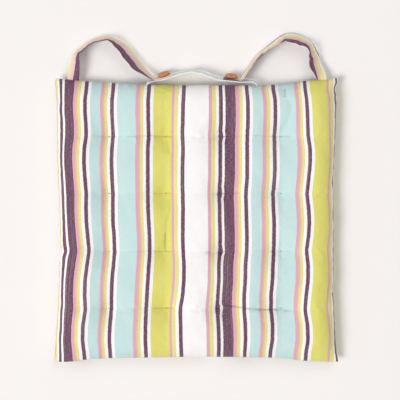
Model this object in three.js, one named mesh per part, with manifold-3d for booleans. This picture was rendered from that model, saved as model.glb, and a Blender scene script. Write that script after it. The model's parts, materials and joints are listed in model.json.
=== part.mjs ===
// Chair seat pad: a square tufted cushion with two buttoned tie straps on its rear edge.
// Millimetres, +Z up, +Y towards the chair back, origin on the underside at the middle of the pad.
import * as THREE from "three";
import { mergeVertices } from "three/addons/utils/BufferGeometryUtils.js";
import Module from "manifold-3d";

// --- Pad ---
const PAD_SIDE = 400; // corner to corner along each edge
const EDGE_PULL = 9; // how far each edge is drawn in between the corner ears
const EAR_POWER = 14; // the higher, the shorter the corner ears
const SEAM_Z = 15; // height of the perimeter seam
const CROWN_Z = 40; // top of the puffs
const TOP_EDGE_ROLL = 38; // distance from the seam to full height, upper side
const BOTTOM_EDGE_ROLL = 36; // the same, lower side
const ROLL_POWER = 0.65; // roundness of the edge roll
const COVER_THICKNESS = 1;
const COVER_GAP = 0.4; // between the two covers at the seam
const WADDING_GAP = 1.2; // between wadding and cover
const VALLEY = 0.25; // share of the puff height lost along the tuft lines
const UNDERSIDE_FLATNESS = 1.35; // how early the underside reaches the seat

// --- Tufts ---
const TUFTS_PER_SIDE = 4;
const TUFT_PITCH = 81.5;
const TUFT_SHIFT_X = -2; // the tuft grid sits slightly off the middle of the pad
const TUFT_SHIFT_Y = -3.5;
const TUFT_FLAT = 5; // half width of the flat spot under a tie
const TUFT_TOP_Z = 24;
const TUFT_BOTTOM_Z = 6;
const TIE_THREAD = 1.2;
const TIE_BAR = 8; // length of the stitched bar above and below
const TIE_GAP = 0.4;
const TIE_HOLE = TIE_THREAD + 2 * TIE_GAP;

// --- Straps and button band ---
const STRAP_THICKNESS = 1.6;
const STRAP_WIDTH = 22;
const ROOT_WIDTH = 14; // a strap is pinched where it enters the seam
const BAND_ROOT_WIDTH = 6;
const EDGE_FOLD = 0.8; // the folded edge narrows over this width
const STRAP_GAP = 0.35; // between band and strap where they are buttoned
const ROOT_Y = 195.8; // sewn ends, just outside the seam
const BAND_Z = 14;
const LEG_TILT = 18; // degrees the outer face leans up along the buttoned legs
const RIBBON_STEPS = 44;

// --- Buttons ---
const BUTTON_DIAMETER = 18;
const BUTTON_THICKNESS = 3.2;
const BUTTON_RIM = 2.4;
const BUTTON_DISH = 0.8;
const BUTTON_CHAMFER = 0.7;
const BUTTON_SIDES = 28;
const BUTTON_HOLE_PITCH = 4.4;
const BUTTON_HOLE_DIAMETER = 2.4;
const BUTTON_LIFT = 1.1; // strap face to button underside
const SHANK_DIAMETER = 2;
const THREAD_DIAMETER = 1.2;
const KNOT_DIAMETER = 4.4;
const KNOT_THICKNESS = 0.8;
const BUTTONHOLE_LENGTH = 20;
const BUTTONHOLE_WIDTH = 3;
const BINDING_WIDTH = 1.3;
const BINDING_THICKNESS = 0.5;
const BINDING_GAP = 0.3;
const FABRIC_HOLE = 2.8; // hole in the band for the button thread

const HALF = PAD_SIDE / 2;
const RAD = Math.PI / 180;
const wasm = await Module();
wasm.setup();

function toSolid(geometry) {
  const plain = geometry.clone();
  plain.deleteAttribute("normal");
  plain.deleteAttribute("uv");
  const merged = mergeVertices(plain, 1e-4);
  return new wasm.Manifold(
    new wasm.Mesh({
      numProp: 3,
      vertProperties: new Float32Array(merged.attributes.position.array),
      triVerts: new Uint32Array(merged.index.array),
    }),
  );
}

function toGeometry(solid) {
  const mesh = solid.getMesh();
  const geometry = new THREE.BufferGeometry();
  geometry.setAttribute("position", new THREE.BufferAttribute(mesh.vertProperties, 3));
  geometry.setIndex(new THREE.BufferAttribute(mesh.triVerts, 1));
  return geometry;
}

const clamp01 = (v) => Math.min(1, Math.max(0, v));

// Tuft centres along one axis, before the edges are drawn in.
function tuftCentres(shift) {
  const middle = (TUFTS_PER_SIDE - 1) / 2;
  return Array.from({ length: TUFTS_PER_SIDE }, (_, i) => shift + (i - middle) * TUFT_PITCH);
}

// Grid lines along one axis: a flat spot at each tuft, four steps between tufts, closer steps at the edge.
function gridLines(shift) {
  const centres = tuftCentres(shift);
  const outer = [0.35, 0.68, 0.88];
  const first = centres[0] - TUFT_FLAT;
  const last = centres[centres.length - 1] + TUFT_FLAT;
  const lines = [-HALF, ...outer.map((f) => first - f * (HALF + first)).reverse()];
  centres.forEach((c, i) => {
    lines.push(c - TUFT_FLAT, c + TUFT_FLAT);
    if (i < centres.length - 1)
      for (let k = 1; k < 4; k++) lines.push(c + TUFT_FLAT + (k / 4) * (TUFT_PITCH - 2 * TUFT_FLAT));
  });
  lines.push(...outer.map((f) => last + f * (HALF - last)), HALF);
  return lines;
}

// Plan position of a point of the flat square once the edges are drawn in.
function plan(gx, gy) {
  const u = Math.abs(gx / HALF);
  const v = Math.abs(gy / HALF);
  const pull = EDGE_PULL / HALF;
  return [gx * (1 - pull * u * u * (1 - v ** EAR_POWER)), gy * (1 - pull * v * v * (1 - u ** EAR_POWER))];
}

const roll = (distance, reach) => Math.sin((clamp01(distance / reach) * Math.PI) / 2) ** ROLL_POWER;

function edgeRoll(gx, gy, reach) {
  return roll(HALF - Math.abs(gx), reach) * roll(HALF - Math.abs(gy), reach);
}

// 0 on the flat spot of a tuft line, 1 midway between tuft lines and beyond the outermost puffs.
function scallop(g, shift) {
  const nearest = Math.min(...tuftCentres(shift).map((c) => Math.abs(g - c)));
  return Math.sin((clamp01((nearest - TUFT_FLAT) / (TUFT_PITCH / 2 - TUFT_FLAT)) * Math.PI) / 2);
}

function puff(gx, gy) {
  const sx = scallop(gx, TUFT_SHIFT_X);
  const sy = scallop(gy, TUFT_SHIFT_Y);
  return (1 - VALLEY) * (1 - (1 - sx) * (1 - sy)) + VALLEY * sx * sy;
}

const RIM_HALF = COVER_GAP / 2 + COVER_THICKNESS;

function topSurface(gx, gy) {
  const base = SEAM_Z + RIM_HALF;
  const low = (TUFT_TOP_Z - base) / (CROWN_Z - base);
  return base + edgeRoll(gx, gy, TOP_EDGE_ROLL) * (CROWN_Z - base) * (low + (1 - low) * puff(gx, gy));
}

function bottomSurface(gx, gy) {
  const base = SEAM_Z - RIM_HALF;
  const low = (base - TUFT_BOTTOM_Z) / base;
  const full = Math.min(1, puff(gx, gy) * UNDERSIDE_FLATNESS);
  return base - edgeRoll(gx, gy, BOTTOM_EDGE_ROLL) * base * (low + (1 - low) * full);
}

// A closed solid between two height surfaces over the pad's plan, stopping a number of grid lines short.
function layer(upper, lower, short = 0) {
  const trimmed = (lines) => lines.slice(short, lines.length - short);
  const xs = trimmed(gridLines(TUFT_SHIFT_X));
  const ys = trimmed(gridLines(TUFT_SHIFT_Y));
  const nx = xs.length;
  const ny = ys.length;
  const positions = [];
  for (const surface of [upper, lower])
    for (const gy of ys) for (const gx of xs) positions.push(...plan(gx, gy), surface(gx, gy));
  const at = (i, j, below) => below * nx * ny + j * nx + i;
  const index = [];
  for (let j = 0; j < ny - 1; j++)
    for (let i = 0; i < nx - 1; i++) {
      const turned = (xs[i] + xs[i + 1]) * (ys[j] + ys[j + 1]) < 0;
      for (const below of [0, 1]) {
        const q = [at(i, j, below), at(i + 1, j, below), at(i + 1, j + 1, below), at(i, j + 1, below)];
        if (below) q.reverse();
        if (turned === Boolean(below)) index.push(q[0], q[1], q[2], q[0], q[2], q[3]);
        else index.push(q[0], q[1], q[3], q[1], q[2], q[3]);
      }
    }
  const border = [];
  for (let i = 0; i < nx - 1; i++) border.push([i, 0]);
  for (let j = 0; j < ny - 1; j++) border.push([nx - 1, j]);
  for (let i = nx - 1; i > 0; i--) border.push([i, ny - 1]);
  for (let j = ny - 1; j > 0; j--) border.push([0, j]);
  border.forEach(([i, j], k) => {
    const [i2, j2] = border[(k + 1) % border.length];
    index.push(at(i, j, 1), at(i2, j2, 1), at(i2, j2, 0), at(i, j, 1), at(i2, j2, 0), at(i, j, 0));
  });
  const geometry = new THREE.BufferGeometry();
  geometry.setAttribute("position", new THREE.Float32BufferAttribute(positions, 3));
  geometry.setIndex(index);
  return geometry;
}

// Loft a closed outline through a list of sections; a ring joins its last section to its first.
function loft(sections, ring) {
  const sides = sections[0].length;
  const positions = sections.flat().flatMap((p) => [p.x, p.y, p.z]);
  const index = [];
  const spans = ring ? sections.length : sections.length - 1;
  for (let s = 0; s < spans; s++)
    for (let k = 0; k < sides; k++) {
      const a = s * sides + k;
      const b = s * sides + ((k + 1) % sides);
      const c = ((s + 1) % sections.length) * sides + ((k + 1) % sides);
      const d = ((s + 1) % sections.length) * sides + k;
      index.push(a, b, c, a, c, d);
    }
  if (!ring)
    for (let k = 1; k < sides - 1; k++) {
      const end = (sections.length - 1) * sides;
      index.push(0, k + 1, k, end, end + k, end + k + 1);
    }
  const geometry = new THREE.BufferGeometry();
  geometry.setAttribute("position", new THREE.Float32BufferAttribute(positions, 3));
  geometry.setIndex(index);
  const solid = toSolid(geometry);
  if (solid.volume() > 0) return geometry;
  for (let i = 0; i < index.length; i += 3) [index[i], index[i + 1]] = [index[i + 1], index[i]];
  geometry.setIndex(index);
  return geometry;
}

// Directions of a ribbon standing on edge: inwards is the loop side, the outer face leans up by the tilt.
function ribbonFrame(heading, inwardSign, tiltDegrees) {
  const along = new THREE.Vector3(heading.x, heading.y, 0).normalize();
  const inward = new THREE.Vector3(along.y, -along.x, 0).multiplyScalar(inwardSign);
  const up = new THREE.Vector3(0, 0, 1);
  const tilt = tiltDegrees * RAD;
  const across = inward.clone().multiplyScalar(Math.sin(tilt)).addScaledVector(up, Math.cos(tilt));
  const outward = inward.clone().multiplyScalar(-Math.cos(tilt)).addScaledVector(up, Math.sin(tilt));
  return { along, across, outward };
}

// A folded fabric strap swept along stations of {x, y, z, tilt, width}.
function ribbon(stations, inwardSign) {
  const curve = new THREE.CatmullRomCurve3(
    stations.map((s) => new THREE.Vector3(s.x, s.y, s.z)),
    false,
    "centripetal",
  );
  const sections = [];
  for (let k = 0; k <= RIBBON_STEPS; k++) {
    const u = k / RIBBON_STEPS;
    const place = u * (stations.length - 1);
    const i = Math.min(stations.length - 2, Math.floor(place));
    const mix = (name) => THREE.MathUtils.lerp(stations[i][name], stations[i + 1][name], place - i);
    const { across, outward } = ribbonFrame(curve.getTangent(u), inwardSign, mix("tilt"));
    const half = mix("width") / 2;
    const t = STRAP_THICKNESS / 2;
    const outline = [
      [-half, 0],
      [-half + EDGE_FOLD, -t],
      [half - EDGE_FOLD, -t],
      [half, 0],
      [half - EDGE_FOLD, t],
      [-half + EDGE_FOLD, t],
    ];
    const centre = curve.getPoint(u);
    sections.push(
      outline.map(([a, b]) => centre.clone().addScaledVector(across, a).addScaledVector(outward, b)),
    );
  }
  return loft(sections, false);
}

const station = (x, y, z, tilt, width = STRAP_WIDTH) => ({ x, y, z, tilt, width });

// The two straight legs of the button band, from each sewn end towards the middle.
const LEGS = {
  left: { x: -64, heading: 18, towards: 1, inwardSign: 1, button: 22 },
  right: { x: 79, heading: 7, towards: -1, inwardSign: -1, button: 29 },
};

function onLeg(leg, distance) {
  return new THREE.Vector3(
    leg.x + leg.towards * distance * Math.cos(leg.heading * RAD),
    ROOT_Y + distance * Math.sin(leg.heading * RAD),
    BAND_Z,
  );
}

function legFrame(leg) {
  const heading = new THREE.Vector3(
    leg.towards * Math.cos(leg.heading * RAD),
    Math.sin(leg.heading * RAD),
    0,
  );
  return ribbonFrame(heading, leg.inwardSign, LEG_TILT);
}

function bandStations() {
  const taper = [
    [0, BAND_ROOT_WIDTH],
    [5, 9],
    [10, 15],
    [16, STRAP_WIDTH],
  ];
  const leg = (side, reach) => {
    const made = taper.map(([d, width]) => {
      const p = onLeg(side, d);
      return station(p.x, p.y, p.z + 1 - Math.min(1, d / 10), LEG_TILT, width);
    });
    for (let d = 24; d <= reach; d += 8) {
      const p = onLeg(side, d);
      made.push(station(p.x, p.y, p.z, LEG_TILT));
    }
    return made;
  };
  return [
    ...leg(LEGS.left, 32),
    station(-20, 208.2, BAND_Z, 15),
    station(-6, 210.4, BAND_Z, 13),
    station(8, 208.8, BAND_Z, 14),
    station(19, 204.9, BAND_Z, 16),
    ...leg(LEGS.right, 50).reverse(),
  ];
}

const STACK = STRAP_THICKNESS + STRAP_GAP; // band middle to strap middle

// The buttoned tail of a strap lies along a leg of the band, on its outer face.
function tailStations(leg, from, to) {
  const { outward } = legFrame(leg);
  const made = [];
  for (let d = from; d <= to; d += 6) {
    const p = onLeg(leg, d).addScaledVector(outward, STACK);
    made.push(station(p.x, p.y, p.z, LEG_TILT));
  }
  return made;
}

const LEFT_STRAP = [
  station(-170, ROOT_Y, SEAM_Z, 90, ROOT_WIDTH),
  station(-171, 201, SEAM_Z, 82, 16),
  station(-173, 211, 14.5, 55, 20),
  station(-174, 223, 14, 37),
  station(-168, 236, 13.5, 30),
  station(-155, 246, 13, 22),
  station(-137, 252.5, 13, 14),
  station(-118, 255, 13, 14),
  station(-106, 251.5, 13, 20),
  station(-96, 241, 13.5, 36),
  station(-85, 227, 14, 42),
  station(-75, 215, 14, 32),
  station(-66.5, 206.5, BAND_Z, 22),
  station(-61.5, 201.5, BAND_Z, LEG_TILT),
  ...tailStations(LEGS.left, 8, 38),
];

const RIGHT_STRAP = [
  station(174, ROOT_Y, SEAM_Z, 90, ROOT_WIDTH),
  station(174.5, 201, SEAM_Z, 82, 16),
  station(175, 211, 14.5, 55, 20),
  station(174, 224, 14, 37),
  station(169, 238, 13.5, 32),
  station(161, 249.5, 13, 26),
  station(148, 257, 13, 18),
  station(130, 260.5, 13, 12),
  station(117, 258, 13, 12),
  station(106, 248, 13.2, 14),
  station(91, 232.5, 13.5, 16),
  station(78, 218, 13.8, 18),
  station(70, 207.5, BAND_Z, 18),
  ...tailStations(LEGS.right, 17, 45),
];

// Matrix that lays local X along the strap, local Y across it and local Z out of its outer face.
function buttonPlace(leg, lift) {
  const { across, outward } = legFrame(leg);
  const origin = onLeg(leg, leg.button).addScaledVector(outward, lift);
  const along = new THREE.Vector3().crossVectors(across, outward);
  return new THREE.Matrix4().makeBasis(along, across, outward).setPosition(origin);
}

function block(width, depth, low, high) {
  return new THREE.BoxGeometry(width, depth, high - low).translate(0, 0, (low + high) / 2);
}

function post(diameter, low, high, sides) {
  return new THREE.CylinderGeometry(diameter / 2, diameter / 2, high - low, sides)
    .rotateX(Math.PI / 2)
    .translate(0, 0, (low + high) / 2);
}

function cut(geometry, tools) {
  return toGeometry(tools.reduce((solid, tool) => solid.subtract(toSolid(tool)), toSolid(geometry)));
}

function join(geometries) {
  return toGeometry(geometries.map(toSolid).reduce((whole, next) => whole.add(next)));
}

const FACE = STRAP_THICKNESS / 2;
const BUTTON_BASE = FACE + BUTTON_LIFT;

// Button blank: chamfered edge, raised rim and shallow dish, with two thread holes.
function buttonGeometry() {
  const r = BUTTON_DIAMETER / 2;
  const profile = [
    [0, 0],
    [r - BUTTON_CHAMFER, 0],
    [r, BUTTON_CHAMFER],
    [r, BUTTON_THICKNESS - BUTTON_CHAMFER],
    [r - BUTTON_CHAMFER, BUTTON_THICKNESS],
    [r - BUTTON_RIM, BUTTON_THICKNESS],
    [r - BUTTON_RIM - BUTTON_DISH, BUTTON_THICKNESS - BUTTON_DISH],
    [0, BUTTON_THICKNESS - BUTTON_DISH],
  ].map(([x, y]) => new THREE.Vector2(x, y));
  const blank = new THREE.LatheGeometry(profile, BUTTON_SIDES).rotateX(Math.PI / 2);
  blank.translate(0, 0, BUTTON_BASE);
  const holes = [-1, 1].map((side) =>
    post(BUTTON_HOLE_DIAMETER, 0, BUTTON_BASE + BUTTON_THICKNESS + 1, 10).translate(
      (side * BUTTON_HOLE_PITCH) / 2,
      0,
      0,
    ),
  );
  return cut(blank, holes);
}

// Button thread: knot behind the band, shank through band and buttonhole, loop through the button.
function threadGeometry() {
  const knotTop = -STACK - FACE - BINDING_GAP;
  const barTop = BUTTON_BASE - BINDING_GAP;
  const dish = BUTTON_BASE + BUTTON_THICKNESS - BUTTON_DISH + BINDING_GAP;
  const barLength = BUTTON_HOLE_PITCH + THREAD_DIAMETER;
  const loops = [-1, 1].map((side) =>
    post(THREAD_DIAMETER, barTop - THREAD_DIAMETER / 2, dish + THREAD_DIAMETER / 2, 8).translate(
      (side * BUTTON_HOLE_PITCH) / 2,
      0,
      0,
    ),
  );
  return join([
    post(KNOT_DIAMETER, knotTop - KNOT_THICKNESS, knotTop, 12),
    post(SHANK_DIAMETER, knotTop - KNOT_THICKNESS / 2, barTop - 0.1, 10),
    block(barLength, THREAD_DIAMETER, barTop - THREAD_DIAMETER, barTop),
    block(barLength, THREAD_DIAMETER, dish, dish + THREAD_DIAMETER * 0.6),
    ...loops,
  ]);
}

function slotPath(length, width, Kind) {
  const path = new Kind();
  const r = width / 2;
  const straight = length / 2 - r;
  path.absarc(straight, 0, r, -Math.PI / 2, Math.PI / 2, false);
  path.absarc(-straight, 0, r, Math.PI / 2, (3 * Math.PI) / 2, false);
  path.closePath();
  return path;
}

// Overcast stitching round a buttonhole.
function bindingGeometry() {
  const inner = BUTTONHOLE_WIDTH + 2 * BINDING_GAP;
  const shape = slotPath(
    BUTTONHOLE_LENGTH + 2 * (BINDING_WIDTH + BINDING_GAP),
    inner + 2 * BINDING_WIDTH,
    THREE.Shape,
  );
  shape.holes.push(slotPath(BUTTONHOLE_LENGTH + 2 * BINDING_GAP, inner, THREE.Path));
  return new THREE.ExtrudeGeometry(shape, {
    depth: BINDING_THICKNESS,
    bevelEnabled: false,
    curveSegments: 5,
  }).translate(0, 0, FACE + BINDING_GAP);
}

function buttonhole(leg) {
  return block(BUTTONHOLE_LENGTH, BUTTONHOLE_WIDTH, -BUTTON_LIFT - FACE, BUTTON_LIFT + FACE).applyMatrix4(
    buttonPlace(leg, STACK),
  );
}

function bandHole(leg) {
  return block(FABRIC_HOLE, FABRIC_HOLE, -2 * FACE, 2 * FACE).applyMatrix4(buttonPlace(leg, 0));
}

// Lockstitch thread that holds the two covers together just inside the perimeter.
function seamThread() {
  const xs = gridLines(TUFT_SHIFT_X);
  const ys = gridLines(TUFT_SHIFT_Y);
  const inset = 3.6;
  const size = 1.2;
  const round = [
    ...xs.slice(0, -1).map((x) => [x, -HALF]),
    ...ys.slice(0, -1).map((y) => [HALF, y]),
    ...xs.slice(1).reverse().map((x) => [x, HALF]),
    ...ys.slice(1).reverse().map((y) => [-HALF, y]),
  ];
  const sections = round.map(([gx, gy]) =>
    [
      [inset, -size / 2],
      [inset + size, -size / 2],
      [inset + size, size / 2],
      [inset, size / 2],
    ].map(([d, z]) => {
      const limit = HALF - d;
      const [x, y] = plan(
        THREE.MathUtils.clamp(gx, -limit, limit),
        THREE.MathUtils.clamp(gy, -limit, limit),
      );
      return new THREE.Vector3(x, y, SEAM_Z + z);
    }),
  );
  return loft(sections, true);
}

// A tuft tie: thread stem through the pad with a stitched bar above and below.
function tieGeometry() {
  const t = TIE_THREAD / 2;
  const b = TIE_BAR / 2;
  const top = TUFT_TOP_Z + TIE_GAP;
  const bottom = TUFT_BOTTOM_Z - TIE_GAP;
  const outline = [
    [-b, bottom - TIE_THREAD],
    [b, bottom - TIE_THREAD],
    [b, bottom],
    [t, bottom],
    [t, top],
    [b, top],
    [b, top + TIE_THREAD],
    [-b, top + TIE_THREAD],
    [-b, top],
    [-t, top],
    [-t, bottom],
    [-b, bottom],
  ].map(([x, y]) => new THREE.Vector2(x, y));
  return new THREE.ExtrudeGeometry(new THREE.Shape(outline), { depth: TIE_THREAD, bevelEnabled: false })
    .translate(0, 0, -t)
    .rotateX(Math.PI / 2);
}

const COLOURS = {
  cover: "#d9d3c0",
  lining: "#efece2",
  wadding: "#f7f5ee",
  thread: "#e8e2cf",
  strap: "#cfd8c4",
  band: "#dfe8e2",
  wood: "#c98549",
};

const pad = new THREE.Group();
pad.name = "chair_seat_pad";

function place(name, geometry, colour, roughness) {
  const mesh = new THREE.Mesh(
    geometry,
    new THREE.MeshStandardMaterial({ color: colour, roughness, metalness: 0 }),
  );
  mesh.name = name;
  pad.add(mesh);
}

const tuftPlaces = tuftCentres(TUFT_SHIFT_Y)
  .reverse()
  .flatMap((gy, row) =>
    tuftCentres(TUFT_SHIFT_X).map((gx, column) => ({ row, column, at: plan(gx, gy) })),
  );
const tieHoles = tuftPlaces.map(({ at }) =>
  block(TIE_HOLE, TIE_HOLE, -CROWN_Z, 2 * CROWN_Z).translate(at[0], at[1], 0),
);

const lowered = (surface, by) => (gx, gy) => surface(gx, gy) - by;
const skin = COVER_THICKNESS;
const fill = COVER_THICKNESS + WADDING_GAP;
place("cover_top", cut(layer(topSurface, lowered(topSurface, skin)), tieHoles), COLOURS.cover, 0.9);
place(
  "cover_bottom",
  cut(layer(lowered(bottomSurface, -skin), bottomSurface), tieHoles),
  COLOURS.lining,
  0.9,
);
place(
  "wadding",
  cut(layer(lowered(topSurface, fill), lowered(bottomSurface, -fill), 1), tieHoles),
  COLOURS.wadding,
  0.95,
);
place("perimeter_seam_thread", seamThread(), COLOURS.thread, 0.8);
for (const { row, column, at } of tuftPlaces)
  place(
    "tuft_tie_" + (row + 1) + "_" + (column + 1),
    tieGeometry().translate(at[0], at[1], 0),
    COLOURS.thread,
    0.8,
  );

place(
  "button_band",
  cut(ribbon(bandStations(), 1), [bandHole(LEGS.left), bandHole(LEGS.right)]),
  COLOURS.band,
  0.9,
);
place("strap_left", cut(ribbon(LEFT_STRAP, 1), [buttonhole(LEGS.left)]), COLOURS.strap, 0.9);
place("strap_right", cut(ribbon(RIGHT_STRAP, -1), [buttonhole(LEGS.right)]), COLOURS.strap, 0.9);
for (const [side, leg] of Object.entries(LEGS)) {
  const lie = buttonPlace(leg, STACK);
  place("button_" + side, buttonGeometry().applyMatrix4(lie), COLOURS.wood, 0.5);
  place("button_thread_" + side, threadGeometry().applyMatrix4(lie), COLOURS.thread, 0.8);
  place("buttonhole_stitching_" + side, bindingGeometry().applyMatrix4(lie), COLOURS.thread, 0.8);
}

export default pad;
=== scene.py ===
"""Looks of the chair seat pad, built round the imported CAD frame. Metres, +Z up, +Y towards the tie straps."""

import json
import math

import bmesh
import bpy
import numpy as np
from mathutils import Matrix, Vector


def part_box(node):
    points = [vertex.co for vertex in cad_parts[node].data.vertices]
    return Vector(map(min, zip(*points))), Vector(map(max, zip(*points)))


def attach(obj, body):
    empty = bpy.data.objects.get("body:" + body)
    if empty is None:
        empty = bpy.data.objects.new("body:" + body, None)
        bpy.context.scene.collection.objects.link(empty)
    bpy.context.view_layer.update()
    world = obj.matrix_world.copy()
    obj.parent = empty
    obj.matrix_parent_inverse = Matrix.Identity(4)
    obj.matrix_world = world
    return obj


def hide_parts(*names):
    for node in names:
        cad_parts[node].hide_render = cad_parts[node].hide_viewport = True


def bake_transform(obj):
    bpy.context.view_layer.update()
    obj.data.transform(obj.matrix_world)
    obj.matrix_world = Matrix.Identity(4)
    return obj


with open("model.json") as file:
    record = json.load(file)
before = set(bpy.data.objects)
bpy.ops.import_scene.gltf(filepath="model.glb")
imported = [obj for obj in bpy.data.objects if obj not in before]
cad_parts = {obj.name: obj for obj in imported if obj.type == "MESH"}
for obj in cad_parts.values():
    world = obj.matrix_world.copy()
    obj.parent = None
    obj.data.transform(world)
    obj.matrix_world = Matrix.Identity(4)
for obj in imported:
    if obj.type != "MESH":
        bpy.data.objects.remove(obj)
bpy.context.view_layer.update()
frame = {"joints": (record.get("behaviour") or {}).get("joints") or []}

MM = 0.001
scene = bpy.context.scene
scene.view_settings.view_transform = "Standard"

# ---------------------------------------------------------------- places taken from the frame
top_low, top_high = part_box("cover_top")
bottom_low, bottom_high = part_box("cover_bottom")
HALF = (top_high.x - top_low.x) / 2
SEAM_Z = (top_low.z + bottom_high.z) / 2
CROWN_Z = top_high.z
TIE_THREAD = 1.6 * MM  # bar and gap of a CAD tie, above and below the covers
TUFTS = {}
for r in range(1, 5):
    for c in range(1, 5):
        low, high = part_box(f"tuft_tie_{r}_{c}")
        TUFTS[r, c] = ((low.x + high.x) / 2, (low.y + high.y) / 2, low.z + TIE_THREAD, high.z - TIE_THREAD)
ROWS = [np.mean([TUFTS[r, c][1] for c in range(1, 5)]) for r in range(1, 5)]
COLUMNS = [np.mean([TUFTS[r, c][0] for r in range(1, 5)]) for c in range(1, 5)]
JOINTS = {j["name"]: j for j in frame["joints"]}
HINGE_Y = JOINTS["band_swing"]["pos_m"][1]

# ---------------------------------------------------------------- small helpers


def smooth(t):
    t = np.clip(t, 0, 1)
    return t * t * (3 - 2 * t)


def wave_noise(x, y, scale, seed):
    """Smooth noise from -1 to 1 at each point, from a few turned sine waves."""
    rng = np.random.default_rng(seed)
    out = np.zeros_like(x, dtype=float)
    for _ in range(7):
        a = rng.uniform(0, 2 * math.pi)
        k = 2 * math.pi / (scale * rng.uniform(0.7, 1.6))
        out = out + np.sin(k * (x * math.cos(a) + y * math.sin(a)) + rng.uniform(0, 2 * math.pi))
    return out / 7 * 1.6


def make_mesh(name, verts, faces, uv=None, smooth_faces=True, attributes=None):
    mesh = bpy.data.meshes.new(name)
    mesh.from_pydata([tuple(v) for v in verts], [], [tuple(f) for f in faces])
    if uv is not None:
        layer = mesh.uv_layers.new(name="flat")
        index = np.zeros(len(mesh.loops), np.int32)
        mesh.loops.foreach_get("vertex_index", index)
        layer.data.foreach_set("uv", np.asarray(uv, np.float32)[index].ravel())
    for key, values in (attributes or {}).items():
        a = mesh.attributes.new(key, "FLOAT", "POINT")
        a.data.foreach_set("value", np.asarray(values, np.float32))
    if smooth_faces:
        mesh.polygons.foreach_set("use_smooth", np.ones(len(mesh.polygons), bool))
    mesh.update()
    obj = bpy.data.objects.new(name, mesh)
    scene.collection.objects.link(obj)
    return obj


def tube_arrays(points, radius, sides=8, closed=False, taper=True):
    """Vertices and faces of a tube along points, with rounded ends when it isn't closed."""
    pts = [Vector(p) for p in points]
    n = len(pts)
    verts, faces = [], []
    up = None
    for i, p in enumerate(pts):
        a = pts[(i - 1) % n] if closed or i else pts[0]
        b = pts[(i + 1) % n] if closed or i < n - 1 else pts[-1]
        t = (b - a).normalized()
        if up is None:
            up = t.orthogonal().normalized()
        up = (up - t * up.dot(t)).normalized()
        side = t.cross(up)
        r = radius * (0.45 if taper and not closed and i in (0, n - 1) else 1)
        for k in range(sides):
            a = 2 * math.pi * k / sides
            verts.append(p + (up * math.cos(a) + side * math.sin(a)) * r)
    for i in range(n if closed else n - 1):
        for k in range(sides):
            a, b = i * sides + k, i * sides + (k + 1) % sides
            c, d = ((i + 1) % n) * sides + (k + 1) % sides, ((i + 1) % n) * sides + k
            faces.append((a, b, c, d))
    if not closed:
        faces.append(tuple(range(sides))[::-1])
        faces.append(tuple((n - 1) * sides + k for k in range(sides)))
    return verts, faces


def join_arrays(parts):
    verts, faces = [], []
    for v, f in parts:
        base = len(verts)
        verts.extend(v)
        faces.extend(tuple(i + base for i in face) for face in f)
    return verts, faces


def grid_quads(ix):
    """Faces of a grid of vertex numbers."""
    return np.stack([ix[:-1, :-1], ix[1:, :-1], ix[1:, 1:], ix[:-1, 1:]], -1).reshape(-1, 4)


def grid_ring(g):
    """Border of a grid, once round."""
    return np.concatenate([g[:-1, 0], g[-1, :-1], g[:0:-1, -1], g[0, :0:-1]])


def hand_over(obj, body, node):
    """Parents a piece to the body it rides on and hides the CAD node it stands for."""
    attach(obj, body)
    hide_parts(node)


# ---------------------------------------------------------------- materials
# One repeat of the woven stripe, in mm across the fabric, starting at the wide plum stripe.
PLUM, PINK, AMBER, YELLOW, WHITE, AQUA, LIME = "plum", "pink", "amber", "yellow", "white", "aqua", "lime"
GUARD = [(PINK, 4.7), (AMBER, 1.7), (YELLOW, 3.6), (WHITE, 4.4), (PLUM, 5.7)]
STRIPES = (
    [(PLUM, 13.4)]
    + GUARD
    + [(WHITE, 4.7), (AQUA, 13.7)]
    + GUARD
    + [(WHITE, 4.1), (AQUA, 26.3)]
    + GUARD
    + [(WHITE, 4.3), (LIME, 26.3), (PINK, 3.6), (YELLOW, 4.8), (WHITE, 4.3), (PLUM, 5.7), (WHITE, 32.6)]
    + [(PINK, 4.8), (YELLOW, 5.0), (WHITE, 4.5), (PLUM, 5.5), (WHITE, 4.2)]
)
# The straps show wider peach and yellow stripes beside their plum than the pad does.
LEFT_STRIPES = [(PLUM, 13.4), (PINK, 4.0), (AMBER, 4.4), (YELLOW, 4.0), (WHITE, 13.2)] + STRIPES[7:]
RIGHT_STRIPES = [(PLUM, 13.4), (PINK, 2.8), (AMBER, 2.2), (YELLOW, 5.6), (WHITE, 4.6)]
RIGHT_STRIPES += [(PLUM, 2.0), (WHITE, 8.4)] + STRIPES[7:]
PALE = "pale"
PALE_STRIPES = [(WHITE, 8.0), (PALE, 9.5), (WHITE, 6.0), (PALE, 9.5), (WHITE, 7.0), (PALE, 8.0)]
SRGB = {
    PLUM: (103, 63, 88),
    PINK: (228, 172, 190),
    AMBER: (236, 202, 142),
    YELLOW: (236, 228, 144),
    WHITE: (254, 252, 251),
    AQUA: (200, 230, 228),
    LIME: (229, 225, 110),
    PALE: (222, 240, 238),
}


def linear(rgb, scale=1.0):
    out = []
    for v in rgb:
        v = v / 255
        v = v / 12.92 if v <= 0.04045 else ((v + 0.055) / 1.055) ** 2.4
        out.append(v * scale)
    return (*out, 1.0)


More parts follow.
